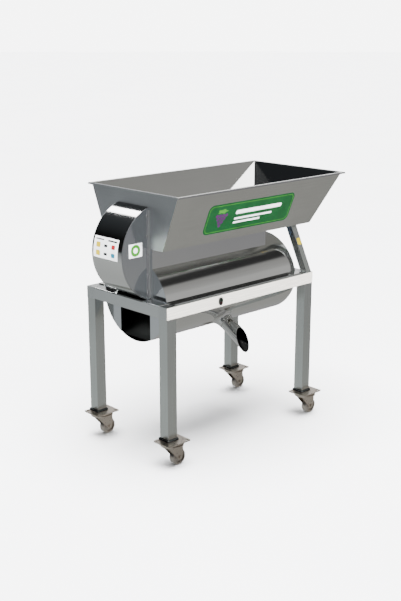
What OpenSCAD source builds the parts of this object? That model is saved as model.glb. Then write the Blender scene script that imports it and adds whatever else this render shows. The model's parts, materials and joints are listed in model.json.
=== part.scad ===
// Grape crusher destemmer on a wheeled frame: hopper, crusher rollers, beater over a
// perforated grate, must trough with a spout, and a guarded drive at the left end.
// X runs along the machine, +Y to its rear, +Z up. The origin is on the floor, under
// the middle of the whole machine.

/* [Frame] */
// Length of the frame, over the long rails
frame_l = 1040; // [1040:10:1060]
// Width of the frame, over the short rails
frame_w = 600; // [600:10:620]
// Height of the frame's top face above the floor
frame_top = 795; // [780:5:820]
// Side of the square tube of rails and legs
tube = 60; // [60:1:60]
// Wall of the square tube
tube_wall = 3; // [2:0.5:4]

/* [Casters] */
// Diameter of a caster wheel
wheel_d = 80; // [75:1:84]
// Width of a caster wheel
wheel_w = 32; // [24:1:34]
// Height of a caster from the floor to the top of its plate
caster_h = 131; // [128:1:140]
// Distance from the swivel axis back to the wheel's axle
caster_trail = 34; // [28:1:40]
// Direction that all four casters trail in, about the vertical
caster_turn = 0; // [-180:1:180]

/* [Hopper] */
// Height of the rim above the floor
rim_z = 1307; // [1290:1:1340]
// Height of the hopper's floor above the ground
floor_z = 1037; // [1037:1:1037]
// Half width of the rim over its folded flange
rim_half_w = 329; // [320:1:340]
// Half width of the hopper at its floor
floor_half_w = 205; // [190:1:215]
// How far the hopper's floor reaches right of the frame's middle
floor_right = 596; // [580:1:610]
// How far the rim reaches right of the frame's middle, over its flange
rim_right = 729; // [715:1:745]
// Width of the folded rim flange
flange_w = 14; // [10:1:18]
// Depth of the lip that turns down from the flange
lip_d = 8; // [5:1:12]

/* [Casing and trough] */
// Outer radius of the upper casing
casing_r = 236; // [234:1:238]
// Height of the upper casing's centre of curvature
casing_z = 745; // [743:1:747]
// Outer radius of the must trough
trough_r = 239.5; // [236:0.5:239.5]
// Width of the throat between hopper and grate, outside
throat_w = 260; // [256:1:264]
// Right-hand end of the throat
throat_right = 330; // [300:1:340]
// Thickness of the sheet
sheet = 2.5; // [2:0.5:3]

/* [Working parts] */
// Height of the beater shaft
beater_z = 832; // [832:1:834]
// Outer radius of the beater's paddles
beater_r = 112; // [100:1:112]
// Height of the crusher rollers' axes
roller_z = 1000; // [1000:1:1002]
// Radius over the ribs of a crusher roller
roller_r = 48; // [44:1:48]
// Diameter of the grate's holes
hole_d = 22; // [16:1:24]

/* [Guard] */
// Radius of the guard's curved wall
guard_r = 234; // [230:1:236]
// Width of the guard
guard_w = 220; // [218:1:224]

/* [Spout] */
// Outer diameter of the must spout
spout_d = 76; // [70:1:80]
// Slope of the spout below the horizontal
spout_slope = 30.5; // [25:0.5:35]

/* [Hidden] */
CORNERS = ["front_left", "front_right", "rear_left", "rear_right"];

$fn = 96;
eps = 0.5;
big = 3000;
fit = 0.05;

// The hopper overhangs one end and the front caster plates one side, so the frame's
// middle is off the machine's middle by this much.
frame_shift = [-51, 11.25];

steel = [0.72, 0.72, 0.70];
satin = [0.60, 0.62, 0.62];
zinc = [0.62, 0.58, 0.54];
rubber = [0.12, 0.12, 0.12];
nylon = [0.88, 0.86, 0.80];
paint = [0.20, 0.32, 0.50];

leg_x = frame_l / 2 - tube / 2;
leg_y = frame_w / 2 - tube / 2;
rail_bottom = frame_top - tube;
tube_r = 4;

wheel_r = wheel_d / 2;
axle_d = 10;
kingpin_d = 12;
plate_l = 142;
plate_w = 115;
plate_t = 5;
// How far the plates stand forward of the middles of the legs
plate_shift = 24;
race_h = 9;
race_r = 50;
crown_h = 8;
crown_r = 57;
crown_top = caster_h - plate_t - race_h - 0.3;
crown_bottom = crown_top - crown_h;
fork_t = 3;
fork_gap = wheel_w + 4;
fork_boss = 15;

end_x = frame_l / 2 - tube - 1;
inner_x = end_x - sheet;
trough_z = frame_top + 2;
foot_y = 283;
// Where the foot strip meets the curve of the casing, half a sheet inside it
foot_in = sqrt(pow(casing_r - sheet, 2) - pow(frame_top + 2 + sheet - casing_z, 2)) + 1;
throat_y = throat_w / 2;
// Top of the side walls where the casing closes over the beater, past the throat
wall_low_z = 932;
// Lower edge of the throat's right-hand end, just above the beater
end_low_z = 975;
wall_x = -end_x;
rim_left = -(end_x + 12);

slope_y = atan((rim_half_w - flange_w - floor_half_w) / (rim_z - floor_z));
slope_x = atan((rim_right - flange_w - floor_right) / (rim_z - floor_z));
hop_t = 2;
side_slope = 35;
ramp_slope = 23.4;
wall_top = rim_z - hop_t;

shaft_d = 25;
grate_r = throat_y - sheet;
grate_left = -340;
grate_rows = 7;
grate_columns = 17;
grate_pitch = 45;
grate_step = 22;
// Height of the opening that stems fall out of, and the plate that they slide down
stem_mouth_h = 190;
chute_z = 690;
chute_l = 160;

tooth_m = 4;
n_drive = 27;
n_beater = 13;
n_roller = 25;
roller_y = tooth_m * n_roller / 2;
gear_x = -478;
gear_w = 11;
bearing_t = 16;
// The drive gear's axis is found from its distances to the two shafts that it meets.
reach_b = tooth_m * (n_drive + n_beater) / 2;
reach_r = tooth_m * (n_drive + n_roller) / 2;
span = norm([roller_y, roller_z - beater_z]);
along = (reach_b * reach_b - reach_r * reach_r + span * span) / (2 * span);
aside = sqrt(reach_b * reach_b - along * along);
dir_y = roller_y / span;
dir_z = (roller_z - beater_z) / span;
drive_y = along * dir_y + aside * dir_z;
drive_z = beater_z + along * dir_z - aside * dir_y;

box_x = gear_x - gear_w - 7;
box_t = 58;
box_half = 42;
motor_x = box_x - box_t + 3;
motor_y = drive_y - 40;
motor_r = 52;

guard_x = -393;
guard_z = 1012.6;
guard_t = 2;

spout_x = -15;
spout_y = -150;
spout_z = 625;
spout_len = 177;
spout_wall = 1.5;
// Along the spout: its weld bead, and the shallow groove that a hose is pushed up to
bead_at = 46;
groove_at = 117;
bead_w = 3;
bead_h = 0.5;
groove_depth = 0.6;
spout_cut = 24;

strut_t = 40;
strut_lean = 25.5;
strut_foot_y = -291;

switch_x = -170;
switch_z = 764;
switch_w = 26;
switch_h = 38;
button_r = 5.5;
button_gap = 14;

function corner_x(i) = (i % 2 == 0 ? -1 : 1) * leg_x;
function corner_y(i) = (i < 2 ? -1 : 1) * leg_y;
// Turn that a driven gear needs at rest so that its gaps face the driver's teeth
function mesh_turn(bearing, n_from, turn_from, n_to) =
    bearing + 180 + (bearing - turn_from) * n_from / n_to - 180 / n_to;

// Puts a flat shape's x and y along Y and Z, and its thickness along +X
module facing_x(x, y = 0, z = 0)
    translate([x, y, z]) rotate([90, 0, 90]) children();

module rounded(w, h, r) {
    square([w, h - 2 * r], center = true);
    square([w - 2 * r, h], center = true);
    for (x = [-1, 1], y = [-1, 1])
        translate([x * (w / 2 - r), y * (h / 2 - r)]) circle(r);
}

module slot_shape(l, w) {
    square([l - w, w], center = true);
    for (x = [-1, 1]) translate([x * (l - w) / 2, 0]) circle(w / 2);
}

module tube_shape(size)
    difference() {
        rounded(size, size, tube_r);
        square(size - 2 * tube_wall, center = true);
    }

// A long rail has closed ends, and a hole that its wiring passes through
module long_rail(y) color(steel)
    difference() {
        facing_x(-frame_l / 2, y, frame_top - tube / 2)
            linear_extrude(frame_l) rounded(tube, tube, tube_r);
        translate([0, y, frame_top - tube / 2])
            cube([frame_l - 2 * tube_wall, tube - 2 * tube_wall, tube - 2 * tube_wall],
                center = true);
        children();
    }

module front_rail() long_rail(-leg_y)
    translate([switch_x, -frame_w / 2 + tube_wall, switch_z]) rotate([90, 0, 0])
        linear_extrude(tube) rotate(90) slot_shape(switch_h - 8, switch_w - 8);

module rear_rail() long_rail(leg_y)
    translate([-leg_x, leg_y - 10, rail_bottom - eps]) cylinder(h = tube_wall + 1, d = 20);

module short_rail(x) color(steel)
    translate([x, frame_w / 2 - tube, frame_top - tube / 2]) rotate([90, 0, 0])
        linear_extrude(frame_w - 2 * tube) tube_shape(tube);

module leg(i) color(satin)
    translate([corner_x(i), corner_y(i), caster_h])
        linear_extrude(rail_bottom - caster_h) tube_shape(tube);

// ---- Casters ----
module caster_plate() {
    translate([0, 0, caster_h - plate_t]) linear_extrude(plate_t) difference() {
        rounded(plate_l, plate_w, 8);
        for (x = [-1, 1], y = [-1, 1])
            translate([x * (plate_l / 2 - 17), y * (plate_w / 2 - 14)]) slot_shape(20, 10);
    }
    translate([0, 0, caster_h - plate_t - race_h]) cylinder(h = race_h, r = race_r);
    translate([0, 0, crown_bottom - 10]) cylinder(h = caster_h - crown_bottom, d = kingpin_d);
    translate([0, 0, crown_bottom - 10]) cylinder(h = 9.7, d = 20, $fn = 6);
}

module caster_plates() color(zinc)
    for (i = [0:3]) translate([corner_x(i), corner_y(i) - plate_shift, 0]) caster_plate();

module at_caster(i)
    translate([corner_x(i), corner_y(i) - plate_shift, 0]) rotate(caster_turn) children();

module fork_side_shape() {
    top = crown_r - 6;
    polygon([[-top, crown_bottom + 4], [top, crown_bottom + 4], [top + 4, wheel_r + 33],
        [caster_trail + fork_boss, wheel_r], [caster_trail, wheel_r],
        [caster_trail - 0.8 * fork_boss, wheel_r - 0.6 * fork_boss]]);
    translate([caster_trail, wheel_r]) circle(fork_boss);
}

module fork(i) color(zinc) at_caster(i) {
    difference() {
        union() {
            translate([0, 0, crown_bottom]) cylinder(h = crown_h, r = crown_r);
            for (s = [-1, 1])
                translate([0, s * (fork_gap + fork_t) / 2 + fork_t / 2, 0]) rotate([90, 0, 0])
                    linear_extrude(fork_t) fork_side_shape();
        }
        translate([0, 0, crown_bottom - 1]) cylinder(h = crown_h + 2, r = kingpin_d / 2 + fit);
        translate([caster_trail, big / 2, wheel_r]) rotate([90, 0, 0])
            cylinder(h = big, d = axle_d);
    }
}

module axle(i) color(zinc) at_caster(i)
    translate([caster_trail, 0, wheel_r]) rotate([90, 0, 0]) {
        cylinder(h = fork_gap + 2 * fork_t + 12, d = axle_d, center = true);
        for (s = [-1, 1])
            translate([0, 0, s * ((fork_gap + 6) / 2 + fork_t)])
                cylinder(h = 6, d = 17, center = true, $fn = 6);
    }

module wheel(i) color(zinc) at_caster(i)
    translate([caster_trail, 0, wheel_r]) rotate([90, 0, 0])
        difference() {
            rotate_extrude() polygon([[0, -wheel_w / 2 - 1], [12, -wheel_w / 2 - 1],
                [12, -8], [wheel_r - 12, -8], [wheel_r - 10, -wheel_w / 2],
                [wheel_r - 3, -wheel_w / 2], [wheel_r, -wheel_w / 2 + 4],
                [wheel_r, wheel_w / 2 - 4], [wheel_r - 3, wheel_w / 2],
                [wheel_r - 10, wheel_w / 2], [wheel_r - 12, 8], [12, 8],
                [12, wheel_w / 2 + 1], [0, wheel_w / 2 + 1]]);
            cylinder(h = wheel_w + 8, r = axle_d / 2 + fit, center = true);
        }

// ---- Hopper ----
module between_z(z0, z1)
    intersection() {
        translate([-big / 2, -big / 2, z0]) cube([big, big, z1 - z0]);
        children();
    }

// One long wall with its rim flange and the lip that turns down from it
module hopper_long() color(steel) {
    rise = (rim_z - floor_z) / cos(slope_y);
    lean = (rim_right - flange_w - floor_right) / rise;
    between_z(floor_z, wall_top)
        translate([0, -floor_half_w, floor_z]) rotate([90 + slope_y, 0, 0])
            translate([0, 0, -hop_t]) linear_extrude(hop_t)
                polygon([[wall_x, -20], [floor_right - 20 * lean, -20],
                    [floor_right + (rise + 20) * lean, rise + 20], [wall_x, rise + 20]]);
    translate([rim_left, -rim_half_w, wall_top])
        cube([rim_right - rim_left, flange_w + hop_t, hop_t]);
    translate([rim_left, -rim_half_w, rim_z - lip_d])
        cube([rim_right - rim_left, hop_t, lip_d - hop_t]);
}

module hopper_front() hopper_long();
module hopper_rear() mirror([0, 1, 0]) hopper_long();

module end_wall_shape(rise) {
    inset = hop_t / cos(slope_y) + 0.05;
    low = floor_half_w - inset;
    spread = (rim_half_w - flange_w - floor_half_w) / rise;
    polygon([[-low + 20 * spread, -20], [low - 20 * spread, -20],
        [low + (rise + 20) * spread, rise + 20], [-low - (rise + 20) * spread, rise + 20]]);
}

module end_flange(x0, x1, lip_x) {
    y = rim_half_w - flange_w - hop_t;
    translate([x0, -y, wall_top]) cube([x1 - x0, 2 * y, hop_t]);
    translate([lip_x, -rim_half_w + hop_t, rim_z - lip_d])
        cube([hop_t, 2 * (rim_half_w - hop_t), lip_d - hop_t]);
}

module hopper_left() color(steel) {
    between_z(floor_z, wall_top)
        facing_x(wall_x, 0, floor_z) linear_extrude(hop_t) end_wall_shape(rim_z - floor_z);
    end_flange(rim_left, wall_x + hop_t, rim_left);
}

module hopper_right() color(steel) {
    between_z(floor_z, wall_top)
        translate([floor_right, 0, floor_z]) rotate([0, slope_x, 0]) rotate([90, 0, 90])
            translate([0, 0, -hop_t]) linear_extrude(hop_t)
                end_wall_shape((rim_z - floor_z) / cos(slope_x));
    end_flange(rim_right - flange_w - hop_t, rim_right, rim_right - hop_t);
}

// What lies under the slope beside the throat, or under the ramp at its right-hand end.
// Both start inside the flat floor's thickness, a little way off the throat's edge.
module under_side(depth)
    translate([0, -throat_y, floor_z + hop_t / 2]) rotate([-side_slope, 0, 0])
        translate([wall_x + hop_t + eps, -big / 2, -depth]) cube([big, big / 2, depth]);

module under_ramp(depth)
    translate([throat_right, 0, floor_z + hop_t / 2]) rotate([0, -ramp_slope, 0])
        translate([0, -big / 2, -depth]) cube([big / 2, big, depth]);

// Lowers its children by half a sheet, so that two slopes that meet are cut to each other
module half_sheet_down() translate([0, 0, -hop_t / 2]) children();

module both_sides() {
    children();
    mirror([0, 1, 0]) children();
}

// The space inside the hopper's front and right walls
module inside_walls()
    intersection() {
        translate([0, -floor_half_w, floor_z]) rotate([90 + slope_y, 0, 0])
            translate([-big / 2, -big / 2, -big - hop_t - 0.1]) cube(big);
        translate([floor_right, 0, floor_z]) rotate([0, slope_x, 0])
            translate([-big - hop_t - 0.1, -big / 2, -big / 2]) cube(big);
        translate([-big / 2, -big / 2, floor_z]) cube(big);
    }

module floor_slopes()
    intersection() {
        union() {
            difference() {
                both_sides() under_side(hop_t);
                half_sheet_down() under_ramp(big / 2);
            }
            difference() {
                under_ramp(hop_t);
                both_sides() half_sheet_down() under_side(big / 2);
            }
        }
        inside_walls();
        mirror([0, 1, 0]) inside_walls();
    }

// A flat floor with side slopes and an end ramp that lead to the throat
module hopper_floor() color(steel)
    difference() {
        union() {
            translate([wall_x + hop_t, -floor_half_w + hop_t + 0.4, floor_z])
                cube([floor_right - hop_t - wall_x - 2.4, 2 * (floor_half_w - hop_t - 0.4), hop_t]);
            floor_slopes();
        }
        translate([wall_x, -throat_y + sheet, floor_z - eps])
            cube([throat_right - sheet - wall_x, throat_w - 2 * sheet, big]);
    }

// ---- Throat: side walls that run down to the grate, and its right-hand end ----
module throat_side() color(steel)
    translate([0, -throat_y + sheet, 0]) rotate([90, 0, 0]) linear_extrude(sheet)
        polygon([[-inner_x, beater_z], [inner_x, beater_z], [inner_x, wall_low_z],
            [throat_right, wall_low_z], [throat_right, floor_z], [-inner_x, floor_z]]);

module throat_front() throat_side();
module throat_rear() mirror([0, 1, 0]) throat_side();

module throat_end() color(steel)
    difference() {
        facing_x(throat_right - sheet) linear_extrude(sheet)
            translate([-throat_y + sheet, end_low_z])
                square([throat_w - 2 * sheet, floor_z - end_low_z]);
        for (s = [-1, 1]) facing_x(0, s * roller_y, roller_z) cylinder(h = big, r = shaft_d / 2 + 1);
    }

// ---- Casing ----
module casing_half() color(steel) {
    difference() {
        facing_x(-inner_x, 0, casing_z) linear_extrude(2 * inner_x) difference() {
            circle(casing_r);
            circle(casing_r - sheet);
        }
        translate([-big / 2, 0, 0]) cube([big, big, big]);
        translate([-big / 2, -big / 2, trough_z - big]) cube([big, big, big]);
        translate([-inner_x - 1, -throat_y, casing_z])
            cube([throat_right + inner_x + 1, throat_w, casing_r]);
    }
    translate([-inner_x, -foot_y, trough_z]) cube([2 * inner_x, foot_y - foot_in, sheet]);
}

module casing_front() casing_half();
module casing_rear() mirror([0, 1, 0]) casing_half();

module end_outline(with_throat)
    intersection() {
        union() {
            translate([0, casing_z]) circle(casing_r);
            if (with_throat) translate([-throat_y, casing_z]) square([throat_w, floor_z - casing_z]);
        }
        translate([-big / 2, frame_top + 2]) square([big, floor_z - frame_top - 2]);
    }

module casing_left_end() color(satin)
    difference() {
        facing_x(-end_x) linear_extrude(sheet) end_outline(true);
        facing_x(-end_x - 1, 0, beater_z) cylinder(h = sheet + 2, r = shaft_d / 2 + 2);
        for (s = [-1, 1]) facing_x(-end_x - 1, s * roller_y, roller_z)
            cylinder(h = sheet + 2, r = shaft_d / 2 + 2);
    }

module casing_right_end() color(satin)
    difference() {
        facing_x(inner_x) linear_extrude(sheet) end_outline(false);
        facing_x(inner_x - 1, 0, beater_z) cylinder(h = sheet + 2, r = shaft_d / 2 + 2);
    }

// ---- Must trough and spout ----
module half_disc(r)
    intersection() {
        translate([0, trough_z]) circle(r);
        translate([-big / 2, trough_z - big]) square([big, big]);
    }

module spout_axis(len, r, start = 0)
    translate([spout_x, spout_y, spout_z]) rotate([90 + spout_slope, 0, 0])
        translate([0, 0, start]) cylinder(h = len, r = r);

module trough() color(steel)
    difference() {
        union() {
            facing_x(-inner_x) linear_extrude(2 * inner_x) difference() {
                half_disc(trough_r);
                half_disc(trough_r - sheet);
            }
            for (s = [-1, 1])
                translate([-inner_x, s < 0 ? -foot_y : trough_r - sheet, frame_top])
                    cube([2 * inner_x, foot_y - trough_r + sheet, 2]);
        }
        spout_axis(spout_len, spout_d / 2 - spout_wall);
    }

module trough_left_end() color(satin)
    facing_x(-end_x) linear_extrude(sheet) difference() {
        half_disc(trough_r);
        translate([-guard_w / 2, trough_z - trough_r - 1]) square([guard_w, stem_mouth_h]);
    }

module trough_right_end() color(satin)
    facing_x(inner_x) linear_extrude(sheet) half_disc(trough_r);

module must_spout() color(steel)
    difference() {
        union() {
            spout_axis(groove_at, spout_d / 2);
            spout_axis(spout_len + 60, spout_d / 2 - groove_depth);
            spout_axis(spout_len + 60 - groove_at - bead_w, spout_d / 2, groove_at + bead_w);
            spout_axis(bead_w, spout_d / 2 + bead_h, bead_at);
        }
        spout_axis(big, spout_d / 2 - spout_wall);
        facing_x(-big / 2, 0, trough_z) cylinder(h = big, r = trough_r);
        translate([0, spout_y - spout_len * cos(spout_slope), spout_z - spout_len * sin(spout_slope)])
            rotate([-spout_cut, 0, 0]) translate([-big / 2, -big, -big / 2]) cube([big, big, big]);
    }

// ---- Stem outlet: a bulkhead that closes the must trough, and a sloping chute ----
module stem_chute() color(steel) {
    difference() {
        facing_x(grate_left - sheet) linear_extrude(sheet) half_disc(trough_r - sheet);
        facing_x(-big / 2, 0, beater_z) cylinder(h = big, r = grate_r);
    }
    intersection() {
        translate([grate_left - sheet, 0, chute_z]) rotate([0, -45, 0])
            translate([-chute_l, -big / 2, -sheet]) cube([chute_l, big, sheet]);
        facing_x(-inner_x, 0, trough_z) cylinder(h = grate_left - sheet + inner_x, r = trough_r - sheet);
    }
}

module grate() color(steel)
    difference() {
        facing_x(grate_left) linear_extrude(inner_x - grate_left) intersection() {
            translate([0, beater_z]) difference() {
                circle(grate_r);
                circle(grate_r - sheet);
            }
            translate([-big / 2, beater_z - big]) square([big, big]);
        }
        for (c = [0:grate_columns - 1], r = [0:grate_rows - 1])
            translate([grate_left + 30 + c * grate_pitch, 0, beater_z])
                rotate([(r - (grate_rows - 1) / 2 + (c % 2 == 0 ? 0.25 : -0.25)) * grate_step, 0, 0])
                    translate([0, 0, -grate_r - 1]) cylinder(h = sheet + 6, d = hole_d, $fn = 24);
    }

// ---- Beater ----
shaft_left = gear_x - gear_w - 2;
module beater_shaft() color(steel)
    facing_x(shaft_left, 0, beater_z) cylinder(h = end_x + bearing_t + 4 - shaft_left, d = shaft_d);

paddles = 13;
paddle_pitch = 62;
paddle_turn = 75;
first_paddle_x = -395;
blade_l = 58.5;
blade_w = 48;
blade_t = 4;
stem_d = 12;
// A stem that screws into the shaft, its lock nut, and a blade that is set askew
module paddle(skew)
    difference() {
        union() {
            cylinder(h = beater_r - stem_d, d = stem_d);
            cylinder(h = shaft_d / 2 + 8, d = 21, $fn = 6);
            rotate(skew) translate([-blade_w / 2, -blade_t / 2, beater_r - blade_l - 1.5])
                cube([blade_w, blade_t, blade_l]);
        }
        facing_x(-blade_w) cylinder(h = 2 * blade_w, d = shaft_d);
    }

module beater_paddles() color(steel)
    for (i = [0:paddles - 1])
        translate([first_paddle_x + i * paddle_pitch, 0, beater_z])
            rotate([i * paddle_turn, 0, 0]) paddle(i == 0 ? 0 : 30);

// ---- Gears ----
module gear(n, turn, bore) {
    pitch_r = tooth_m * n / 2;
    root = pitch_r - 1.15 * tooth_m;
    tip = pitch_r + 0.85 * tooth_m;
    step = 360 / n;
    rotate([90, 0, 90]) rotate(turn) translate([0, 0, -gear_w]) difference() {
        linear_extrude(gear_w) polygon([for (i = [0:n - 1],
            p = [[root, -0.29], [tip, -0.11], [tip, 0.11], [root, 0.29]])
                p[0] * [cos((i + p[1]) * step), sin((i + p[1]) * step)]]);
        translate([0, 0, -1]) cylinder(h = gear_w + 2, d = bore);
    }
}

turn_drive = 0;
bearing_b = atan2(beater_z - drive_z, -drive_y);
bearing_r = atan2(roller_z - drive_z, roller_y - drive_y);
turn_beater = mesh_turn(bearing_b, n_drive, turn_drive, n_beater);
turn_rear = mesh_turn(bearing_r, n_drive, turn_drive, n_roller);
turn_front = mesh_turn(180, n_roller, turn_rear, n_roller);

module beater_gear() color(nylon)
    translate([gear_x, 0, beater_z]) gear(n_beater, turn_beater, shaft_d);

module drive_gear() color(nylon)
    translate([gear_x, drive_y, drive_z]) {
        gear(n_drive, turn_drive, 1);
        facing_x(-gear_w - 30) cylinder(h = 30 + gear_w + 3, d = 20);
    }

module front_roller_gear() color(nylon)
    translate([gear_x, -roller_y, roller_z]) gear(n_roller, turn_front, shaft_d);

module rear_roller_gear() color(nylon)
    translate([gear_x, roller_y, roller_z]) gear(n_roller, turn_rear, shaft_d);

// ---- Crusher rollers ----
roller_len = throat_right - sheet + inner_x - 12;
ribs = 8;
module roller(y) color(rubber)
    translate([0, y, roller_z]) {
        facing_x(-inner_x + 6) {
            cylinder(h = roller_len, r = roller_r - 10);
            for (i = [0:ribs - 1]) rotate(i * 360 / ribs)
                translate([roller_r - 16, -5, 0]) cube([15.5, 10, roller_len]);
        }
        facing_x(shaft_left) cylinder(h = throat_right + bearing_t + 3 - shaft_left, d = shaft_d);
    }

// ---- Bearings ----
module oval_bearing(half_l, half_h)
    difference() {
        union() {
            linear_extrude(8) difference() {
                circle(half_h);
                slot_shape(2 * half_l, 26);
                for (s = [-1, 1]) polygon([[0, half_h - 1], [s * half_h / 2, half_h - 5],
                    [s * (half_l - 8), 12], [s * (half_l - 8), -12],
                    [s * half_h / 2, 5 - half_h], [0, 1 - half_h]]);
                for (s = [-1, 1]) translate([s * (half_l - 12), 0]) circle(5);
            }
            cylinder(h = bearing_t, r = half_h - 6);
        }
        translate([0, 0, -1]) cylinder(h = bearing_t + 2, r = shaft_d / 2 + fit);
    }

module beater_bearings() color(paint) {
    facing_x(-end_x, 0, beater_z) mirror([0, 0, 1]) oval_bearing(62, 34);
    facing_x(end_x, 0, beater_z) oval_bearing(62, 34);
}

module round_bearing()
    difference() {
        union() {
            cylinder(h = 7, r = 40);
            cylinder(h = bearing_t, r = 30);
        }
        translate([0, 0, -1]) cylinder(h = bearing_t + 2, r = shaft_d / 2 + fit);
    }

module roller_bearings() color(paint)
    for (s = [-1, 1]) {
        facing_x(-end_x, s * roller_y, roller_z) mirror([0, 0, 1]) round_bearing();
        // The right-hand ones are cut flat under the hopper and hollow over the casing
        difference() {
            facing_x(throat_right, s * roller_y, roller_z) round_bearing();
            translate([-big / 2, -big / 2, floor_z - 1]) cube(big);
            facing_x(-big / 2, 0, casing_z) cylinder(h = big, r = casing_r + 0.3);
        }
    }

// ---- Gear motor ----
module gearbox() color(paint)
    difference() {
        union() {
            translate([box_x - box_t, drive_y - box_half, drive_z - box_half])
                cube([box_t, 2 * box_half + 8, 2 * box_half]);
            translate([motor_x, motor_y, drive_z + box_half - 4]) cylinder(h = 12, r = 40);
            translate([box_x - box_t + 10, motor_y - 20, drive_z - box_half])
                cube([box_t - 14, 40, 2 * box_half]);
        }
        facing_x(gear_x - gear_w - 31, drive_y, drive_z) cylinder(h = 60, r = 10 + fit);
    }

fins = 20;
motor_low = drive_z + box_half + 8;
motor_h = 142;
module motor() color(paint)
    translate([motor_x, motor_y, motor_low]) {
        cylinder(h = 10, r = motor_r);
        cylinder(h = motor_h, r = motor_r - 8);
        for (i = [0:fins - 1]) rotate(i * 360 / fins)
            translate([motor_r - 10, -1.25, 8]) cube([10, 2.5, motor_h - 50]);
        translate([0, 0, motor_h - 38]) cylinder(h = 38, r = motor_r);
        translate([-28, -motor_r - 26, 30]) cube([56, 36, 62]);
    }

// ---- Guard over the drive ----
module guard_shape(r)
    intersection() {
        translate([guard_x, guard_z]) circle(r);
        translate([-end_x - big, frame_top]) square([big, big]);
    }

module guard_wall() color(steel)
    rotate([90, 0, 0]) linear_extrude(guard_w, center = true) difference() {
        guard_shape(guard_r);
        translate([guard_x, guard_z]) circle(guard_r - guard_t);
    }

module guard_side(s) color(satin)
    difference() {
        translate([0, s * (guard_w - guard_t) / 2, 0]) rotate([90, 0, 0])
            linear_extrude(guard_t, center = true) guard_shape(guard_r - guard_t);
        for (z = screw_heights) translate([screw_x, s * guard_w / 2, z]) rotate([90, 0, 0])
            cylinder(h = 20, r = 2.5, center = true);
    }

screw_heights = [830, 910, 1010, 1100, 1195];
screw_x = -end_x - 10;
strip_w = 18;
strip_t = 3;
strip_h = 410;
// Screws with the angle strips behind the side plates that they screw into
module guard_screws() color(zinc)
    for (s = [-1, 1]) {
        difference() {
            translate([-end_x - strip_w, s * (guard_w / 2 - guard_t - strip_t / 2) - strip_t / 2,
                trough_z + 5])
                cube([strip_w, strip_t, strip_h]);
            for (z = screw_heights) translate([screw_x, s * guard_w / 2, z]) rotate([90, 0, 0])
                cylinder(h = 20, r = 2.6, center = true);
        }
        for (z = screw_heights)
            translate([screw_x, s * (guard_w / 2 - 5), z]) rotate([-90 * s, 0, 0]) {
                cylinder(h = 5, r = 2.5);
                translate([0, 0, 5]) cylinder(h = 3, r = 5.5);
            }
    }

// ---- Struts ----
module strut() color(satin)
    between_z(frame_top, floor_z)
        translate([frame_l / 2 - strut_t / 2, strut_foot_y, frame_top]) rotate([-strut_lean, 0, 0])
            translate([0, strut_t / 2, -60]) linear_extrude(400) tube_shape(strut_t);

module strut_front() strut();
module strut_rear() mirror([0, 1, 0]) strut();

// ---- Switch ----
module switch_face(z) translate([switch_x, -frame_w / 2, z]) rotate([90, 0, 0]) children();

module switch_body() color(rubber)
    difference() {
        switch_face(switch_z) {
            linear_extrude(4) rotate(90) slot_shape(switch_h, switch_w);
            translate([0, 0, -30]) linear_extrude(30) rotate(90) slot_shape(switch_h - 8, switch_w - 8);
        }
        for (s = [-1, 1]) switch_face(switch_z + s * button_gap / 2)
            translate([0, 0, -16]) cylinder(h = 30, r = button_r + fit);
    }

module button(s, tone) color(tone)
    switch_face(switch_z + s * button_gap / 2) translate([0, 0, -12]) cylinder(h = 19, r = button_r);

module start_button() button(1, [0.1, 0.45, 0.2]);
module stop_button() button(-1, [0.6, 0.1, 0.1]);

module place() translate(frame_shift) children();

place() front_rail();
place() rear_rail();
place() short_rail(-leg_x);  // left_rail
place() short_rail(leg_x);  // right_rail
for (i = [0:3]) {
    place() leg(i);
    place() fork(i);
    place() axle(i);
    place() wheel(i);
}
place() caster_plates();
place() hopper_front();
place() hopper_rear();
place() hopper_left();
place() hopper_right();
place() hopper_floor();
place() throat_front();
place() throat_rear();
place() throat_end();
place() casing_front();
place() casing_rear();
place() casing_left_end();
place() casing_right_end();
place() trough();
place() trough_left_end();
place() trough_right_end();
place() must_spout();
place() stem_chute();
place() grate();
place() beater_shaft();
place() beater_paddles();
place() beater_gear();
place() beater_bearings();
place() roller(-roller_y);  // front_roller
place() roller(roller_y);  // rear_roller
place() front_roller_gear();
place() rear_roller_gear();
place() roller_bearings();
place() gearbox();
place() drive_gear();
place() motor();
place() guard_wall();
place() guard_side(-1);  // guard_front_side
place() guard_side(1);  // guard_rear_side
place() guard_screws();
place() strut_front();
place() strut_rear();
place() switch_body();
place() start_button();
place() stop_button();
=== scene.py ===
"""Looks for the grape crusher destemmer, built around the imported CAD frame."""
import json
import math

import bmesh
import bpy
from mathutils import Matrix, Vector
from mathutils.bvhtree import BVHTree


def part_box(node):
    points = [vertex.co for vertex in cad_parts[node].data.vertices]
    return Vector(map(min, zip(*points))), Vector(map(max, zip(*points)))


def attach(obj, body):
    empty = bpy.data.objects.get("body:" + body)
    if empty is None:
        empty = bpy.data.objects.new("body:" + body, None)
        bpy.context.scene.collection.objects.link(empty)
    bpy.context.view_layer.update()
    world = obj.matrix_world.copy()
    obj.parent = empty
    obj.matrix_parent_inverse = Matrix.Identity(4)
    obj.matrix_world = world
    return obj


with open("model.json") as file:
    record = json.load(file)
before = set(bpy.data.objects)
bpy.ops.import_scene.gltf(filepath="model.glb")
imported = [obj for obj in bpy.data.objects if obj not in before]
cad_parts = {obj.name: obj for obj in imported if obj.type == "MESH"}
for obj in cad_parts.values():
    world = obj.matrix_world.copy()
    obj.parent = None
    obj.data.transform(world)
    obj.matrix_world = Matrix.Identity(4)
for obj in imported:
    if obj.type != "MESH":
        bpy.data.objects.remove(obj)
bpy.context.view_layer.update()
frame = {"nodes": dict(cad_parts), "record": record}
NODES = frame["nodes"]

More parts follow.
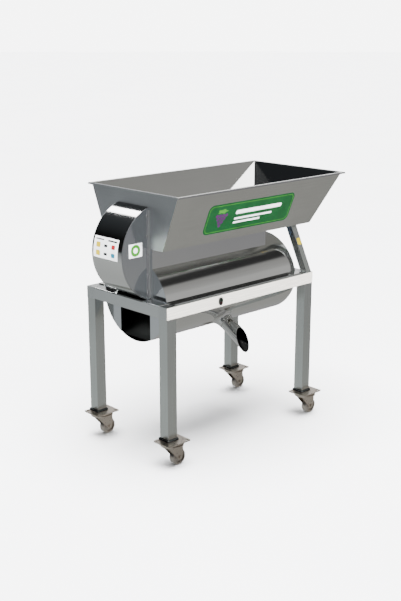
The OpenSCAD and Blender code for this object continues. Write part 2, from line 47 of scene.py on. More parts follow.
# ---- Camera: set back and up from the front left, at the machine's own scale ----
CAMERA_AZ = math.radians(-43.9)
CAMERA_EL = math.radians(15.42)
CAMERA_DISTANCE = 5.1746
CAMERA_TARGET = Vector((-0.0598, 0.01965, 0.6757))
LENS = 59.66


def make_camera():
    data = bpy.data.cameras.new("camera")
    data.lens = LENS
    data.sensor_width = 36
    data.sensor_fit = "VERTICAL"
    data.sensor_height = 36
    data.clip_end = 100
    camera = bpy.data.objects.new("camera", data)
    back = Vector((math.sin(CAMERA_AZ) * math.cos(CAMERA_EL),
                   -math.cos(CAMERA_AZ) * math.cos(CAMERA_EL), math.sin(CAMERA_EL)))
    camera.location = CAMERA_TARGET + back * CAMERA_DISTANCE
    camera.rotation_euler = (-back).to_track_quat("-Z", "Y").to_euler()
    bpy.context.scene.collection.objects.link(camera)
    bpy.context.scene.camera = camera


make_camera()


# ---- Places on the machine ----
STAND_MIDDLE = (Vector(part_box("left_rail")[0]) + Vector(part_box("right_rail")[1])) / 2


def frame_point(x, y, z):
    """A point given from the middle of the stand at floor level, in metres."""
    return Vector((x + STAND_MIDDLE.x, y + STAND_MIDDLE.y, z))


SPOUT_TILT = math.radians(30.5)
SPOUT_R = 0.038
SPOUT_ROOT = frame_point(-0.015, -0.150, 0.625)
SPOUT_AXIS = Vector((0, -math.cos(SPOUT_TILT), -math.sin(SPOUT_TILT)))


# ---- Node helpers ----
class Shader:
    """A small wrapper that adds nodes to one material and links them."""

    def __init__(self, name):
        self.material = bpy.data.materials.new(name)
        self.material.use_nodes = True
        self.tree = self.material.node_tree
        self.bsdf = self.tree.nodes["Principled BSDF"]

    def node(self, kind, **inputs):
        made = self.tree.nodes.new(kind)
        for key, value in inputs.items():
            made.inputs[key.replace("_", " ")].default_value = value
        return made

    def link(self, source, target):
        self.tree.links.new(source, target)

    def coords(self, scale):
        place = self.node("ShaderNodeTexCoord")
        mapping = self.node("ShaderNodeMapping")
        mapping.inputs["Scale"].default_value = scale
        self.link(place.outputs["Object"], mapping.inputs["Vector"])
        return mapping.outputs["Vector"]

    def noise(self, scale, detail=4.0, roughness=0.55, size=1.0):
        made = self.node("ShaderNodeTexNoise", Scale=size, Detail=detail, Roughness=roughness)
        self.link(self.coords(scale), made.inputs["Vector"])
        return made.outputs["Fac"]

    def ramp(self, source, stops):
        made = self.node("ShaderNodeValToRGB")
        elements = made.color_ramp.elements
        while len(elements) < len(stops):
            elements.new(0.5)
        for element, (place, colour) in zip(elements, stops):
            element.position = place
            element.color = (*colour, 1.0) if len(colour) == 3 else colour
        self.link(source, made.inputs["Fac"])
        return made.outputs["Color"]

    def span(self, source, low, high):
        made = self.node("ShaderNodeMapRange")
        made.inputs["To Min"].default_value = low
        made.inputs["To Max"].default_value = high
        self.link(source, made.inputs["Value"])
        return made.outputs["Result"]

    def bump(self, source, strength, distance):
        made = self.node("ShaderNodeBump", Strength=strength, Distance=distance)
        self.link(source, made.inputs["Height"])
        self.link(made.outputs["Normal"], self.bsdf.inputs["Normal"])


def tint(colour, factor):
    return tuple(channel * factor for channel in colour)


def brushed(name, colour, grain, rough=(0.26, 0.36), contrast=0.06, relief=0.12):
    """Steel with a directional grain; grain is the noise scale along X, Y and Z."""
    shader = Shader(name)
    shader.bsdf.inputs["Metallic"].default_value = 1.0
    lines = shader.noise(grain, detail=3.0)
    patches = shader.noise((3, 3, 3), detail=2.0)
    blend = shader.node("ShaderNodeMath")
    blend.operation = "MULTIPLY_ADD"
    blend.inputs[1].default_value = 0.7
    shader.link(lines, blend.inputs[0])
    shader.link(patches, blend.inputs[2])
    stops = [(0.55, tint(colour, 1 - contrast)), (1.0, tint(colour, 1 + contrast))]
    tone = shader.ramp(blend.outputs[0], stops)
    shader.link(tone, shader.bsdf.inputs["Base Color"])
    shader.link(shader.span(lines, *rough), shader.bsdf.inputs["Roughness"])
    shader.bump(lines, relief, 0.0003)
    return shader.material


def polished(name, colour, rough=(0.07, 0.13), grain=(6, 260, 260), relief=0.02):
    return brushed(name, colour, grain, rough, 0.03, relief)


def painted_lit_sides(name, pale, colour, grain):
    """Ground tube whose two long sides, facing along Y, carry painted light: a pale cream colour and less
    metal stand in for the bright light on the rail's front; the rest is satin.
    """
    shader = Shader(name)
    lines = shader.noise(grain, detail=3.0)
    facing = shader.node("ShaderNodeNewGeometry")
    split = shader.node("ShaderNodeSeparateXYZ")
    shader.link(facing.outputs["Normal"], split.inputs["Vector"])
    size = shader.node("ShaderNodeMath")
    size.operation = "ABSOLUTE"
    shader.link(split.outputs["Y"], size.inputs[0])
    share = shader.node("ShaderNodeMapRange")
    share.inputs["From Min"].default_value = 0.6
    share.inputs["From Max"].default_value = 0.8
    shader.link(size.outputs[0], share.inputs["Value"])
    # Painted light: the sides facing along Y take the pale cream tone, and further down, less metal.
    mix = shader.node("ShaderNodeMix")
    mix.data_type = "RGBA"
    shader.link(share.outputs["Result"], mix.inputs["Factor"])
    shader.link(shader.ramp(lines, [(0.3, tint(colour, 0.95)), (0.7, tint(colour, 1.05))]), mix.inputs[6])
    shader.link(shader.ramp(lines, [(0.3, tint(pale, 0.98)), (0.7, tint(pale, 1.02))]), mix.inputs[7])
    shader.link(mix.outputs[2], shader.bsdf.inputs["Base Color"])
    shader.link(shader.span(share.outputs["Result"], 1.0, 0.3), shader.bsdf.inputs["Metallic"])
    shader.link(shader.span(lines, 0.2, 0.32), shader.bsdf.inputs["Roughness"])
    shader.bump(lines, 0.1, 0.0003)
    return shader.material


def plain(name, colour, rough, metallic=0.0, speckle=900, relief=0.1):
    shader = Shader(name)
    shader.bsdf.inputs["Metallic"].default_value = metallic
    grain = shader.noise((speckle, speckle, speckle))
    patches = shader.noise((12, 12, 12))
    tone = shader.ramp(patches, [(0.3, tint(colour, 0.86)), (0.7, tint(colour, 1.12))])
    shader.link(tone, shader.bsdf.inputs["Base Color"])
    shader.link(shader.span(patches, rough * 0.88, rough * 1.12), shader.bsdf.inputs["Roughness"])
    shader.bump(grain, relief, 0.0002)
    return shader.material


def ink(name, colour):
    """Matt print or moulded plastic, with little shine."""
    material = plain(name, colour, 0.6)
    material.node_tree.nodes["Principled BSDF"].inputs["Specular IOR Level"].default_value = 0.12
    return material


def bore_painted_shade(name, colour, dark):
    """Polished tube with painted shade inside: within about SPOUT_R of the spout's axis the colour turns
    dark, standing in for the shade in the bore.
    """
    shader = Shader(name)
    shader.bsdf.inputs["Metallic"].default_value = 1.0
    place = shader.node("ShaderNodeTexCoord")
    away = shader.node("ShaderNodeVectorMath")
    away.operation = "SUBTRACT"
    away.inputs[1].default_value = SPOUT_ROOT
    shader.link(place.outputs["Object"], away.inputs[0])
    off = shader.node("ShaderNodeVectorMath")
    off.operation = "CROSS_PRODUCT"
    off.inputs[1].default_value = SPOUT_AXIS
    shader.link(away.outputs["Vector"], off.inputs[0])
    size = shader.node("ShaderNodeVectorMath")
    size.operation = "LENGTH"
    shader.link(off.outputs["Vector"], size.inputs[0])
    share = shader.node("ShaderNodeMapRange")
    share.inputs["From Min"].default_value = SPOUT_R - 0.0012
    share.inputs["From Max"].default_value = SPOUT_R - 0.0006
    shader.link(size.outputs["Value"], share.inputs["Value"])
    # Painted shade: the colour inside the bore.
    shader.link(shader.ramp(share.outputs["Result"], [(0.3, dark), (0.7, colour)]),
                shader.bsdf.inputs["Base Color"])
    lines = shader.noise((260, 6, 260), detail=3.0)
    shader.link(shader.span(lines, 0.07, 0.13), shader.bsdf.inputs["Roughness"])
    shader.bump(lines, 0.02, 0.0003)
    return shader.material


def dress(material, *names):
    for name in names:
        slots = NODES[name].data.materials
        slots.clear()
        slots.append(material)


ACROSS = (4, 420, 420)
ALONG_Y = (420, 4, 420)
UPRIGHT = (420, 420, 4)

M = {
    "rail_x": painted_lit_sides("rail_steel_x_painted_light", (0.90, 0.855, 0.77), (0.58, 0.60, 0.60), ACROSS),
    "rail_y": brushed("rail_steel_y", (0.58, 0.60, 0.60), ALONG_Y, (0.18, 0.26)),
    "leg": brushed("leg_steel", (0.55, 0.575, 0.56), UPRIGHT, (0.2, 0.3)),
    "hopper": brushed("hopper_steel", (0.58, 0.58, 0.56), ACROSS, (0.16, 0.24)),
    # The hopper's left wall is a rougher, darker and cooler copy of the hopper steel: its colour is painted
    # shade for that side.
    "hopper_left": brushed("hopper_left_steel_painted_shade", (0.54, 0.56, 0.58), ALONG_Y, (0.42, 0.52)),
    "hopper_rear": polished("hopper_rear_steel", (0.58, 0.58, 0.56), (0.04, 0.07), ACROSS, 0.01),
    "hopper_right": polished("hopper_right_steel", (0.60, 0.61, 0.62), (0.04, 0.07), ALONG_Y, 0.01),
    "polished": polished("polished_steel", (0.66, 0.66, 0.65)),
    "spout": bore_painted_shade("spout_steel", (0.66, 0.66, 0.65), (0.10, 0.10, 0.10)),
    "seam": brushed("seam_steel", (0.34, 0.35, 0.36), ALONG_Y, (0.4, 0.5)),
    "plate": polished("plate_steel", (0.56, 0.58, 0.60), (0.08, 0.14), ALONG_Y),
    "flange": brushed("flange_steel", (0.62, 0.63, 0.64), UPRIGHT, (0.3, 0.4)),
    "inner": brushed("inner_steel", (0.56, 0.56, 0.56), ACROSS),
    # Painted shade: the stem chute is near-black steel so the stem opening reads as black shade.
    "shade": brushed("chute_steel_painted_shade", (0.16, 0.16, 0.16), ACROSS),
    "caster": brushed("caster_nickel", (0.52, 0.465, 0.405), (60, 60, 60), (0.2, 0.4), 0.2, 0.25),
    "wheel": brushed("caster_wheel_metal", (0.46, 0.42, 0.38), (90, 90, 90), (0.25, 0.4), 0.2, 0.25),
    # Near-black weld beads: partly weld metal, partly painted shade round the foot of each leg.
    "weld": brushed("weld_steel_and_shade", (0.07, 0.075, 0.075), (160, 160, 160), (0.35, 0.55), 0.3, 0.4),
    "nylon": plain("gear_nylon", (0.75, 0.73, 0.66), 0.45),
    "rubber": plain("roller_rubber", (0.03, 0.03, 0.03), 0.6),
    "paint": plain("drive_paint", (0.05, 0.09, 0.17), 0.4),
    "black": plain("switch_black", (0.012, 0.012, 0.012), 0.35),
    "green": ink("button_green", (0.002, 0.010, 0.004)),
    "red": ink("button_red", (0.016, 0.003, 0.003)),
    "label_green": ink("label_green", (0.0, 0.052, 0.010)),
    "label_lime": ink("label_lime", (0.03, 0.17, 0.012)),
    "label_white": ink("label_white", (0.80, 0.81, 0.82)),
    "label_yellow": ink("label_yellow", (0.42, 0.32, 0.008)),
    "label_grape": ink("label_grape", (0.05, 0.008, 0.06)),
    "label_grey": ink("label_grey", (0.015, 0.015, 0.016)),
    "label_red": ink("label_red", (0.24, 0.010, 0.014)),
    "label_blue": ink("label_blue", (0.01, 0.13, 0.20)),
}

CORNERS = ("front_left", "front_right", "rear_left", "rear_right")
dress(M["rail_x"], "front_rail", "rear_rail")
dress(M["rail_y"], "left_rail", "right_rail")
dress(M["leg"], "strut_front", "strut_rear", *(f"leg_{c}" for c in CORNERS))
dress(M["caster"], "caster_plates", *(f"{part}_{c}" for part in ("fork", "axle") for c in CORNERS))
dress(M["wheel"], *(f"wheel_{c}" for c in CORNERS))
dress(M["hopper"], "hopper_front", "hopper_floor")
dress(M["hopper_rear"], "hopper_rear")
dress(M["hopper_left"], "hopper_left")
dress(M["hopper_right"], "hopper_right")
dress(M["polished"], "casing_front", "casing_rear", "trough", "guard_wall",
      "throat_front", "throat_rear", "throat_end")
dress(M["spout"], "must_spout")
dress(M["plate"], "casing_left_end", "casing_right_end", "trough_left_end", "trough_right_end",
      "guard_front_side", "guard_rear_side")
dress(M["inner"], "grate", "beater_shaft", "beater_paddles", "guard_screws")
dress(M["shade"], "stem_chute")
dress(M["nylon"], "beater_gear", "drive_gear", "front_roller_gear", "rear_roller_gear")
dress(M["rubber"], "front_roller", "rear_roller")
dress(M["paint"], "beater_bearings", "roller_bearings", "gearbox", "motor")
dress(M["black"], "switch_body")
dress(M["green"], "start_button")
dress(M["red"], "stop_button")


# ---- Pieces that Blender adds ----
# Stickers: their thickness, and how far the base and the print stand off the sheet
STICKER_T = 0.0002
BASE_LIFT = 0.0003
INK_LIFT = 0.0007
# How far off a surface a search ray starts
RAY_START = 0.3

# Weld beads round the foot of each leg; the beads are real, and their near-black colour also paints the shade
# round each foot.
WELD_R = 0.006
WELD_LIFT = 0.002
WELD_GAP = 0.003
WELD_STEP = 0.004
WELD_RIPPLE = 0.12

# Raised race on top of each caster
RACE_R = 0.0505
RACE_LIFT = 0.0052
RACE_BEAD_R = 0.0036

# The guard's round wall, its seam, and the angle strips at its straight edge
GUARD_X = -0.393 + STAND_MIDDLE.x
GUARD_Z = 1.0126
GUARD_R = 0.2335
GUARD_FROM = -60.0
GUARD_TO = 72.0
SEAM_R = 0.0012
FLANGE_W = 0.014
FLANGE_T = 0.0012
FLANGE_BEND = 0.001
FLANGE_LIP = 0.010

# The flare at the root of the spout
NECK_TOP = 0.052
NECK_FOOT = 0.026
NECK_PROUD = 0.0007
NECK_WALL = 0.0012

JOINTS = {joint["name"]: joint for joint in frame["record"]["behaviour"]["joints"]}
SWIVELS = {corner: Vector(JOINTS["caster_swivel_" + corner]["pos_m"]) for corner in CORNERS}


def surface(node):
    """A search tree over a CAD node's mesh."""
    return BVHTree.FromObject(NODES[node], bpy.context.evaluated_depsgraph_get())


def take_mesh(name, bm):
    """Turns the faces outwards and moves the built shape into a new mesh."""
    bmesh.ops.recalc_face_normals(bm, faces=bm.faces)
    mesh = bpy.data.meshes.new(name)
    bm.to_mesh(mesh)
    bm.free()
    return mesh


def finish_piece(name, mesh, material, smooth=False):
    piece = bpy.data.objects.new(name, mesh)
    bpy.context.scene.collection.objects.link(piece)
    mesh.materials.append(material)
    for face in mesh.polygons:
        face.use_smooth = smooth
    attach(piece, "machine")
    return piece


def rounded_box(w, h, radius, middle=(0, 0), steps=6):
    """The outline of a rectangle with round corners."""
    corners = ((1, 1, 0), (-1, 1, 1), (-1, -1, 2), (1, -1, 3))
    points = []
    for side_u, side_v, quarter in corners:
        for step in range(steps + 1):
            angle = math.pi / 2 * (quarter + step / steps)
            points.append((middle[0] + side_u * (w / 2 - radius) + radius * math.cos(angle),
                           middle[1] + side_v * (h / 2 - radius) + radius * math.sin(angle)))
    return points


def disc(radius, middle=(0, 0), steps=24):
    return [(middle[0] + radius * math.cos(math.tau * i / steps),
             middle[1] + radius * math.sin(math.tau * i / steps)) for i in range(steps)]


def ring(outer, inner, middle=(0, 0), steps=32):
    """A ring as a row of four-sided outlines."""
    edge = disc(outer, middle, steps)
    hole = disc(inner, middle, steps)
    return [[edge[i], edge[(i + 1) % steps], hole[(i + 1) % steps], hole[i]] for i in range(steps)]


def drape(name, node, material, outlines, spot, across, up, lift, bend_step=None):
    """Lays flat outlines, drawn about spot along across and up, on a CAD node like a sticker."""
    across, up = Vector(across).normalized(), Vector(up).normalized()
    away = across.cross(up)
    tree = surface(node)
    bm = bmesh.new()
    for outline in outlines:
        bm.faces.new([bm.verts.new(Vector(spot) + across * u + up * v) for u, v in outline])
    bmesh.ops.remove_doubles(bm, verts=bm.verts, dist=1e-6)
    if bend_step:
        reach = max(abs(v) for outline in outlines for _, v in outline)
        count = int(reach / bend_step)
        for i in range(-count, count + 1):
            bmesh.ops.bisect_plane(bm, geom=bm.verts[:] + bm.edges[:] + bm.faces[:],
                                   plane_co=Vector(spot) + up * bend_step * i, plane_no=up)
    for vert in bm.verts:
        hit, normal, _, _ = tree.ray_cast(vert.co + away * RAY_START, -away)
        if normal.dot(away) < 0:
            normal = -normal
        vert.co = hit + normal * lift
    piece = finish_piece(name, take_mesh(name, bm), material)
    solid = piece.modifiers.new("thickness", "SOLIDIFY")
    solid.thickness = STICKER_T
    solid.offset = 0
    return piece


def make_hopper_label():
    """A green panel with a pale line round it, a bunch of grapes and plain bars."""
    spot = frame_point(0.080, -0.240, 1.164)
    lean = math.radians(22.2)
    across, up = (1, 0, 0), (0, -math.sin(lean), math.cos(lean))

    def layer(name, material, outlines, lift):
        drape("hopper_label_" + name, "hopper_front", M[material], outlines, spot, across, up, lift)

    layer("base", "label_green", [rounded_box(0.612, 0.164, 0.032)], BASE_LIFT)
    edge_out = rounded_box(0.594, 0.146, 0.025)
    edge_in = rounded_box(0.589, 0.141, 0.023)
    count = len(edge_out)
    line = [[edge_out[i], edge_out[(i + 1) % count], edge_in[(i + 1) % count], edge_in[i]]
            for i in range(count)]
    layer("line", "label_lime", line, INK_LIFT)
    grapes = []
    for row, berries in enumerate((4, 3, 2, 1)):
        for i in range(berries):
            grapes.append(disc(0.0098, (-0.205 + (i - (berries - 1) / 2) * 0.021, 0.016 - row * 0.0185)))
    layer("grapes", "label_grape", grapes, INK_LIFT)
    leaf = [(0.030 * math.cos(a) * (1 + 0.22 * math.cos(5 * a)) - 0.205,
             0.011 * math.sin(a) * (1 + 0.22 * math.cos(5 * a)) + 0.040)
            for a in (math.tau * i / 40 for i in range(40))]
    layer("leaf", "label_lime", [leaf], INK_LIFT)
    bars = [rounded_box(0.330, 0.022, 0.010, (0.055, 0.022)),
            rounded_box(0.270, 0.011, 0.005, (0.025, -0.014)),
            rounded_box(0.190, 0.011, 0.005, (-0.015, -0.036))]
    layer("bars", "label_white", bars, INK_LIFT)


def make_guard_labels():
    """A white sheet of plain coloured blocks on the round wall, and a square with a ring on the side."""
    spot = frame_point(-0.640, 0.010, 1.046)
    across, up = (0, -1, 0), (0, 0, 1)

    def layer(name, material, outlines, lift):
        drape("guard_label_" + name, "guard_wall", M[material], outlines, spot, across, up, lift, 0.006)

    layer("base", "label_white", [rounded_box(0.178, 0.100, 0.003)], BASE_LIFT)
    rows = (0.012, -0.027)
    layer("yellow", "label_yellow", [rounded_box(0.030, 0.024, 0.006, (-0.055, v)) for v in rows], INK_LIFT)
    dashes = [rounded_box(0.024, 0.012, 0.004, (0.0, v)) for v in rows]
    dashes.append(rounded_box(0.060, 0.005, 0.002, (-0.048, 0.038)))
    dashes.append(rounded_box(0.066, 0.007, 0.002, (0.045, 0.038)))
    layer("grey", "label_grey", dashes, INK_LIFT)
    layer("red", "label_red", [rounded_box(0.026, 0.020, 0.006, (0.055, rows[0]))], INK_LIFT)
    layer("blue", "label_blue", [rounded_box(0.026, 0.020, 0.006, (0.055, rows[1]))], INK_LIFT)

    spot = frame_point(-0.543, -0.200, 1.0415)
    drape("guard_badge_base", "guard_front_side", M["label_white"], [rounded_box(0.081, 0.066, 0.002)],
          spot, (1, 0, 0), (0, 0, 1), BASE_LIFT)
    drape("guard_badge_ring", "guard_front_side", M["label_lime"], ring(0.0285, 0.0135),
          spot, (1, 0, 0), (0, 0, 1), INK_LIFT)


def make_strut_mark():
    foot, head = (Vector(corner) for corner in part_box("strut_front"))
    middle = Vector(((foot.x + head.x) / 2, (foot.y + head.y) / 2 - 0.2, foot.z + 0.64 * (head.z - foot.z)))
    drape("strut_mark", "strut_front", M["label_yellow"], [rounded_box(0.028, 0.034, 0.006)],
          middle, (1, 0, 0), (0, 0, 1), BASE_LIFT)


def sweep(bm, rings, closed):
    """Joins rings of points by four-sided faces, and fills the ends of an open sweep."""
    loops = [[bm.verts.new(point) for point in points] for points in rings]
    count = len(loops[0])
    pairs = list(zip(loops, loops[1:] + loops[:1] if closed else loops[1:]))
    for here, there in pairs:
        for i in range(count):
            bm.faces.new((here[i], here[(i + 1) % count], there[(i + 1) % count], there[i]))
    if not closed:
        bm.faces.new(reversed(loops[0]))
        bm.faces.new(loops[-1])


def make_bead(name, path, radius, material, ripple=0.0, closed=True, sides=8):
    """A tube along path; ripple swells it in turns, as weld metal sets."""
    count = len(path)
    rings = []
    for i, point in enumerate(path):
        before = path[i - 1] if closed or i else point
        after = path[(i + 1) % count] if closed or i < count - 1 else point
        along = (after - before).normalized()
        side = along.cross(Vector((0, 0, 1)))
        if side.length < 0.1:
            side = along.cross(Vector((0, 1, 0)))
        side.normalize()
        lift = side.cross(along)
        swell = radius * (1 + ripple * (i % 2))
        rings.append([point + (side * math.cos(a) + lift * math.sin(a)) * swell
                      for a in (math.tau * k / sides for k in range(sides))])
    bm = bmesh.new()
    sweep(bm, rings, closed)
    return finish_piece(name, take_mesh(name, bm), material, smooth=True)


def along_outline(outline, step):
    """Points at about one step apart round a closed outline."""
    points = []
    for i, start in enumerate(outline):
        end = outline[(i + 1) % len(outline)]
        count = max(1, round((end - start).length / step))
        points += [start.lerp(end, k / count) for k in range(count)]
    return points


def make_leg_welds():
    for corner in CORNERS:
        low, high = (Vector(c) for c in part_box("leg_" + corner))
        middle = (low + high) / 2
        side = high.x - low.x
        outline = [Vector((middle.x + u, middle.y + v, low.z + WELD_LIFT))
                   for u, v in rounded_box(side + WELD_GAP, side + WELD_GAP, 0.005, steps=3)]
        path = along_outline(outline, WELD_STEP)
        make_bead("leg_weld_" + corner, path, WELD_R, M["weld"], WELD_RIPPLE)


def make_race_rings():
    for corner in CORNERS:
        swivel = SWIVELS[corner]
        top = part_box("fork_" + corner)[1][2] + RACE_LIFT
        path = [Vector((swivel.x + u, swivel.y + v, top)) for u, v in disc(RACE_R, steps=64)]
        make_bead("race_ring_" + corner, path, RACE_BEAD_R, M["caster"])


def make_guard_seams():
    """The folded edges where the round wall of the guard meets its two flat sides."""
    low, high = (Vector(c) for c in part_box("guard_wall"))
    for side, y in (("front", low.y), ("rear", high.y)):
        path = []
        for i in range(97):
            angle = math.radians(GUARD_FROM + (GUARD_TO - GUARD_FROM) * i / 96)
            path.append(Vector((GUARD_X - GUARD_R * math.cos(angle), y, GUARD_Z + GUARD_R * math.sin(angle))))
        make_bead("guard_seam_" + side, path, SEAM_R, M["seam"], closed=False)


def make_guard_flanges():
    """Angle strips that fasten the sides of the guard to the end of the casing."""
    low, high = (Vector(c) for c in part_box("guard_front_side"))
    rear_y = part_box("guard_rear_side")[1][1]
    bend = FLANGE_T + FLANGE_BEND
    profile = [(0, 0), (-FLANGE_W, 0), (-FLANGE_W, FLANGE_T), (-bend, FLANGE_T), (-FLANGE_T, bend),
               (-FLANGE_T, FLANGE_LIP), (0, FLANGE_LIP)]
    for side, y, out in (("front", low.y, -1), ("rear", rear_y, 1)):
        rings = [[Vector((high.x + u, y + out * v, z)) for u, v in profile]
                 for z in (low.z + 0.004, high.z - 0.012)]
        bm = bmesh.new()
        sweep(bm, rings, False)
        name = "guard_flange_" + side
        finish_piece(name, take_mesh(name, bm), M["flange"])


def make_spout_neck():
    """The smooth flare that blends the spout into the trough."""
    axis = SPOUT_AXIS
    across = Vector((1, 0, 0))
    up = across.cross(axis)
    tree = surface("trough")
    steps, turns = 14, 96
    far = axis * RAY_START
    rings = [[] for _ in range(steps + 1)]
    for i in range(turns):
        angle = math.tau * i / turns
        out = across * math.cos(angle) + up * math.sin(angle)
        bend = tree.ray_cast(SPOUT_ROOT + out * SPOUT_R + far, -axis)[0]
        seat = tree.ray_cast(SPOUT_ROOT + out * (SPOUT_R + NECK_FOOT) + far, -axis)[0]
        depth = (bend - SPOUT_ROOT).dot(axis)
        start = bend + axis * max(NECK_TOP - depth, NECK_FOOT)
        for step in range(steps + 1):
            share = step / steps
            rings[step].append(start * (1 - share) ** 2 + bend * 2 * share * (1 - share) + seat * share ** 2
                               + (out + axis * share) * NECK_PROUD)
    inner = [[point - axis * NECK_WALL for point in points] for points in reversed(rings[1:-1])]
    bm = bmesh.new()
    sweep(bm, rings + inner, True)
    finish_piece("spout_neck", take_mesh("spout_neck", bm), M["polished"], smooth=True)


make_hopper_label()
make_guard_labels()
make_strut_mark()
make_leg_welds()
make_race_rings()
make_guard_seams()
make_guard_flanges()
make_spout_neck()


# ---- Floor, backdrop and light ----
FLOOR_REACH = 300.0
FLOOR_TONE = (0.86, 0.865, 0.88)


def make_floor():
    """A plain pale floor. Metal doesn't mirror it, so that the steel shows the studio instead."""
    mesh = bpy.data.meshes.new("floor")
    corners = [(x * FLOOR_REACH, y * FLOOR_REACH, 0) for x, y in ((-1, -1), (1, -1), (1, 1), (-1, 1))]
    mesh.from_pydata(corners, [], [(0, 1, 2, 3)])
    floor = bpy.data.objects.new("floor", mesh)
    bpy.context.scene.collection.objects.link(floor)
    shader = Shader("floor_matt")
    mottle = shader.noise((0.6, 0.6, 0.6), detail=2.0)
    tone = shader.ramp(mottle, [(0.3, tint(FLOOR_TONE, 0.985)), (0.7, tint(FLOOR_TONE, 1.015))])
    shader.link(tone, shader.bsdf.inputs["Base Color"])
    shader.bsdf.inputs["Roughness"].default_value = 0.8
    mesh.materials.append(shader.material)
    floor.visible_glossy = False


WALL_R = 80.0
WALL_H = 70.0
WALL_GLOW = 6.7


def make_wall():
    """A pale studio wall all round, which only the camera sees, so it neither lights nor shades."""
    outline = disc(WALL_R, steps=96)
    count = len(outline)
    points = [(x, y, z) for z in (0, WALL_H) for x, y in outline]
    faces = [(i, (i + 1) % count, count + (i + 1) % count, count + i) for i in range(count)]
    mesh = bpy.data.meshes.new("wall")
    mesh.from_pydata(points, [], faces)
    wall = bpy.data.objects.new("wall", mesh)
    bpy.context.scene.collection.objects.link(wall)
    shader = Shader("wall_glow")
    mottle = shader.noise((0.05, 0.05, 0.05), detail=2.0)
    tone = shader.ramp(mottle, [(0.3, tint((0.99, 0.995, 1.0), 0.99)), (0.7, (0.99, 0.995, 1.0))])
    shader.bsdf.inputs["Base Color"].default_value = (0, 0, 0, 1)
    shader.link(tone, shader.bsdf.inputs["Emission Color"])
    shader.bsdf.inputs["Emission Strength"].default_value = WALL_GLOW
    mesh.materials.append(shader.material)
    for seen_by in ("diffuse", "glossy", "transmission", "shadow", "volume_scatter"):
        setattr(wall, "visible_" + seen_by, False)


# Each stop is the sine of the height above the horizon, and the light from there.
FRONT_RIGHT = [(-1.0, (0.42, 0.42, 0.40)), (-0.35, (0.45, 0.45, 0.43)), (-0.25, (0.39, 0.39, 0.38)),
               (-0.19, (0.32, 0.32, 0.34)), (-0.05, (0.30, 0.30, 0.32)), (0.05, (0.60, 0.60, 0.59)),
               (0.25, (0.62, 0.62, 0.61)), (0.33, (0.48, 0.48, 0.47)), (0.49, (0.38, 0.38, 0.37)),
               (0.54, (0.04, 0.04, 0.04)), (0.66, (0.04, 0.04, 0.04)), (0.71, (0.42, 0.42, 0.41)),
               (0.75, (0.18, 0.18, 0.18)), (1.0, (0.25, 0.25, 0.25))]
BACK_LEFT = [(-1.0, (0.44, 0.45, 0.45)), (-0.35, (0.64, 0.67, 0.66)), (-0.26, (0.56, 0.59, 0.60)),
             (-0.16, (0.40, 0.42, 0.43)), (-0.09, (0.32, 0.34, 0.35)), (-0.03, (0.015, 0.015, 0.015)),
             (0.3, (0.008, 0.008, 0.008)), (0.7, (0.05, 0.055, 0.06)), (1.0, (0.25, 0.25, 0.25))]
# The bright far side of the studio, as the steel mirrors it
BACKDROP = [(-0.1, (0.4, 0.4, 0.4)), (-0.02, (6.6, 6.65, 6.8)), (0.05, (6.6, 6.65, 6.8)),
            (0.10, (1.4, 1.4, 1.4)), (0.30, (1.2, 1.2, 1.2)), (0.50, (0.35, 0.35, 0.35)),
            (0.66, (0.1, 0.1, 0.1))]
# The level direction that the first list is for; the second is for the opposite one
FRONT_RIGHT_WAY = (0.69, -0.72, 0.0)
BACKDROP_WAY = (0.69, 0.72, 0.0)


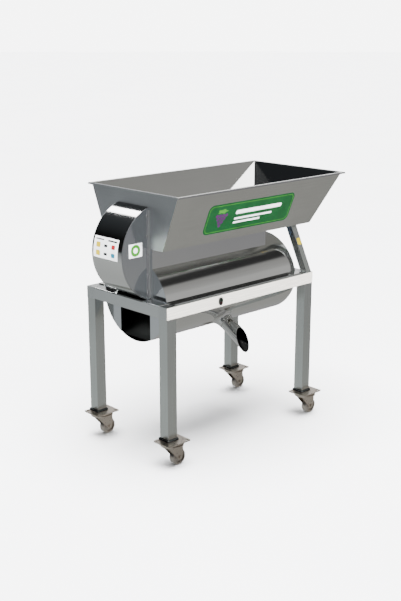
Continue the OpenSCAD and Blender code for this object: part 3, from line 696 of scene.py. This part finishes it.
def make_world():
    world = bpy.data.worlds.new("studio")
    bpy.context.scene.world = world
    world.use_nodes = True
    tree = world.node_tree
    background = tree.nodes["Background"]
    place = tree.nodes.new("ShaderNodeTexCoord")
    split = tree.nodes.new("ShaderNodeSeparateXYZ")
    tree.links.new(place.outputs["Generated"], split.inputs["Vector"])
    height = tree.nodes.new("ShaderNodeMapRange")
    height.inputs["From Min"].default_value = -1.0
    tree.links.new(split.outputs["Z"], height.inputs["Value"])

    def gradient(stops):
        ramp = tree.nodes.new("ShaderNodeValToRGB")
        elements = ramp.color_ramp.elements
        while len(elements) < len(stops):
            elements.new(0.5)
        for element, (sine, colour) in zip(elements, stops):
            element.position = (sine + 1) / 2
            element.color = (*colour, 1)
        tree.links.new(height.outputs["Result"], ramp.inputs["Fac"])
        return ramp.outputs["Color"]

    def towards(way, low, high, first, second):
        """Turns from the first light to the second as the direction comes round to way."""
        turn = tree.nodes.new("ShaderNodeVectorMath")
        turn.operation = "DOT_PRODUCT"
        turn.inputs[1].default_value = way
        tree.links.new(place.outputs["Generated"], turn.inputs[0])
        share = tree.nodes.new("ShaderNodeMapRange")
        share.interpolation_type = "SMOOTHSTEP"
        share.inputs["From Min"].default_value = low
        share.inputs["From Max"].default_value = high
        tree.links.new(turn.outputs["Value"], share.inputs["Value"])
        mix = tree.nodes.new("ShaderNodeMix")
        mix.data_type = "RGBA"
        tree.links.new(share.outputs["Result"], mix.inputs["Factor"])
        tree.links.new(first, mix.inputs[6])
        tree.links.new(second, mix.inputs[7])
        return mix.outputs[2]

    sides = towards(FRONT_RIGHT_WAY, -0.35, 0.35, gradient(BACK_LEFT), gradient(FRONT_RIGHT))
    whole = towards(BACKDROP_WAY, 0.62, 0.86, sides, gradient(BACKDROP))
    tree.links.new(whole, background.inputs["Color"])


def make_softbox(name, way, distance, size, radiance):
    """An area light that hangs in the direction way from the machine and faces it."""
    middle = Vector((0, 0, 0.8))
    data = bpy.data.lights.new(name, "AREA")
    data.shape = "RECTANGLE"
    data.size, data.size_y = size
    data.energy = radiance * math.pi * size[0] * size[1]
    light = bpy.data.objects.new(name, data)
    light.location = middle + Vector(way).normalized() * distance
    light.rotation_euler = (middle - light.location).to_track_quat("-Z", "Y").to_euler()
    light.visible_camera = False
    bpy.context.scene.collection.objects.link(light)


def make_overhead():
    data = bpy.data.lights.new("overhead", "SUN")
    data.energy = 23
    data.angle = math.radians(50)
    light = bpy.data.objects.new("overhead", data)
    light.location = (0, 0, 5)
    light.visible_glossy = False
    bpy.context.scene.collection.objects.link(light)


make_floor()
make_wall()
make_world()
make_overhead()
make_softbox("key", (-0.113, -0.529, 0.841), 4.5, (2.8, 2.2), 12)
make_softbox("rim", (0.04, 0.75, 0.65), 5.0, (1.5, 1.0), 13)
